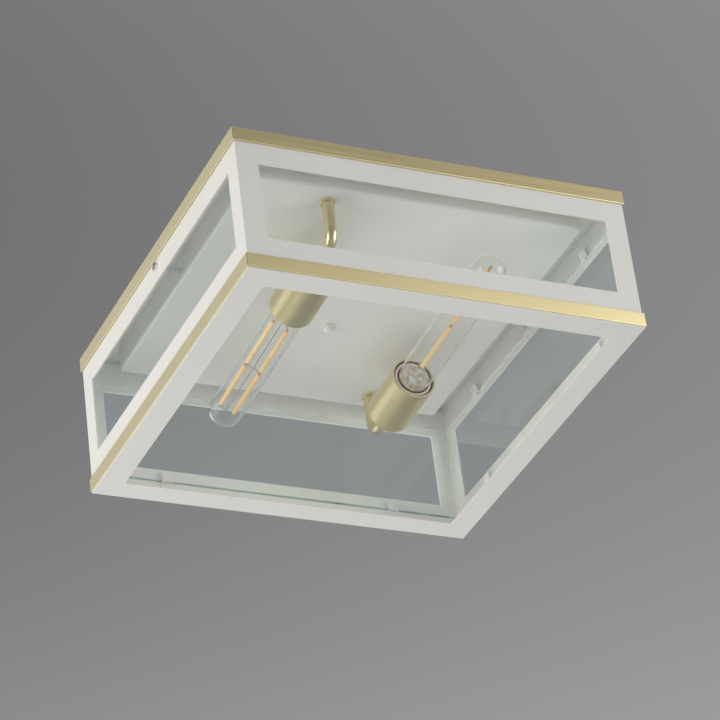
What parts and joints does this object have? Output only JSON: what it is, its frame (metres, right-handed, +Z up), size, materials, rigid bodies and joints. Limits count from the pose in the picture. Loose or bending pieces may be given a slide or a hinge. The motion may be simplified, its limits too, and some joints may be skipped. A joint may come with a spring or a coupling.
{
  "type": "outdoor flush mount light",
  "caption": "Square flush mount porch light: off-white glazed cage with satin brass bands, a ceiling pan, bent brass arms, socket cups and clear tube lamps.",
  "frame": {"origin": "centre of the ceiling face, midway between the crossbar's box holes", "axes": "+Z up into the ceiling, +X along the front wall to the right, +Y from the front wall to the back wall"},
  "size_m": [0.3304, 0.33, 0.1272],
  "materials": {
    "white_coat": "satin off-white powder coat",
    "satin_brass": "satin champagne brass",
    "pane_glass": "clear float glass with green edges",
    "lamp_glass": "thin clear tube glass",
    "zinc_steel": "zinc plated",
    "copper_shell": "bare copper alloy",
    "porcelain": "beige glazed porcelain",
    "filament": "unlit phosphor coating",
    "lead_jacket": "black insulated wire",
    "connector_tan": "moulded twist-on connector"
  },
  "bodies": {
    "pan": {"ceiling_pan": "white_coat", "mounting_crossbar": "zinc_steel", "mounting_studs": "zinc_steel", "stud_nuts": "zinc_steel", "cap_nuts": "white_coat", "ground_screw": "zinc_steel", "arm_collars": "satin_brass", "arm_locknuts": "zinc_steel", "left_arm": "satin_brass", "left_lead": "lead_jacket", "left_wire_connector": "connector_tan", "left_socket_cup": "satin_brass", "left_cup_nut": "zinc_steel", "left_lampholder": "porcelain", "left_screw_shell": "copper_shell", "left_socket_contact": "copper_shell", "right_arm": "satin_brass", "right_lead": "lead_jacket", "right_wire_connector": "connector_tan", "right_socket_cup": "satin_brass", "right_cup_nut": "zinc_steel", "right_lampholder": "porcelain", "right_screw_shell": "copper_shell", "right_socket_contact": "copper_shell"},
    "cage": {"bottom_ring": "white_coat", "bottom_glass": "pane_glass", "upper_band": "satin_brass", "lower_band": "satin_brass", "side_glass_clips": "white_coat", "bottom_glass_clips": "white_coat", "clinch_nuts": "zinc_steel", "front_panel": "white_coat", "front_glass": "pane_glass", "right_panel": "white_coat", "right_glass": "pane_glass", "back_panel": "white_coat", "back_glass": "pane_glass", "left_panel": "white_coat", "left_glass": "pane_glass"},
    "left_lamp_base": {"left_lamp_base": "copper_shell", "left_lamp_insulator": "porcelain", "left_lamp_contact": "copper_shell"},
    "left_lamp": {"left_lamp_glass": "lamp_glass", "left_lamp_stem": "lamp_glass", "left_lamp_filaments": "filament", "left_lamp_wires": "zinc_steel"},
    "left_washer": {"left_screw_washer": "white_coat"},
    "left_screw": {"left_cage_screw": "white_coat"},
    "right_lamp_base": {"right_lamp_base": "copper_shell", "right_lamp_insulator": "porcelain", "right_lamp_contact": "copper_shell"},
    "right_lamp": {"right_lamp_glass": "lamp_glass", "right_lamp_stem": "lamp_glass", "right_lamp_filaments": "filament", "right_lamp_wires": "zinc_steel"},
    "right_washer": {"right_screw_washer": "white_coat"},
    "right_screw": {"right_cage_screw": "white_coat"}
  },
  "joints": [
    {"name": "cage_drop", "type": "slide", "parent": "pan", "child": "cage", "axis": [0, 0, -1], "range_m": [0, 0.13]},
    {"name": "left_lamp_slide", "type": "slide", "parent": "pan", "child": "left_lamp_base", "axis": [0.0419, 0.9991, 0], "range_m": [0, 0.01815]},
    {"name": "left_lamp_turn", "type": "hinge", "parent": "left_lamp_base", "child": "left_lamp", "pos_m": [-0.0719, -0.1225, -0.062], "axis": [0.0419, 0.9991, 0], "range_deg": [0, 1802]},
    {"name": "left_screw_slide", "type": "slide", "parent": "cage", "child": "left_washer", "axis": [-1, 0, 0], "range_m": [0, 0.0021]},
    {"name": "left_screw_turn", "type": "hinge", "parent": "left_washer", "child": "left_screw", "pos_m": [-0.165, 0, -0.018], "axis": [-1, 0, 0], "range_deg": [0, 1082]},
    {"name": "right_lamp_slide", "type": "slide", "parent": "pan", "child": "right_lamp_base", "axis": [-0.0419, -0.9991, 0], "range_m": [0, 0.01815]},
    {"name": "right_lamp_turn", "type": "hinge", "parent": "right_lamp_base", "child": "right_lamp", "pos_m": [0.0719, 0.1225, -0.062], "axis": [-0.0419, -0.9991, 0], "range_deg": [0, 1802]},
    {"name": "right_screw_slide", "type": "slide", "parent": "cage", "child": "right_washer", "axis": [1, 0, 0], "range_m": [0, 0.0021]},
    {"name": "right_screw_turn", "type": "hinge", "parent": "right_washer", "child": "right_screw", "pos_m": [0.165, 0, -0.018], "axis": [1, 0, 0], "range_deg": [0, 1082]}
  ],
  "couplings": [
    {"joint": "left_lamp_turn", "follows": "left_lamp_slide", "rad_per_m": 1731.4},
    {"joint": "left_screw_turn", "follows": "left_screw_slide", "rad_per_m": 8976},
    {"joint": "right_lamp_turn", "follows": "right_lamp_slide", "rad_per_m": 1731.4},
    {"joint": "right_screw_turn", "follows": "right_screw_slide", "rad_per_m": 8976}
  ]
}
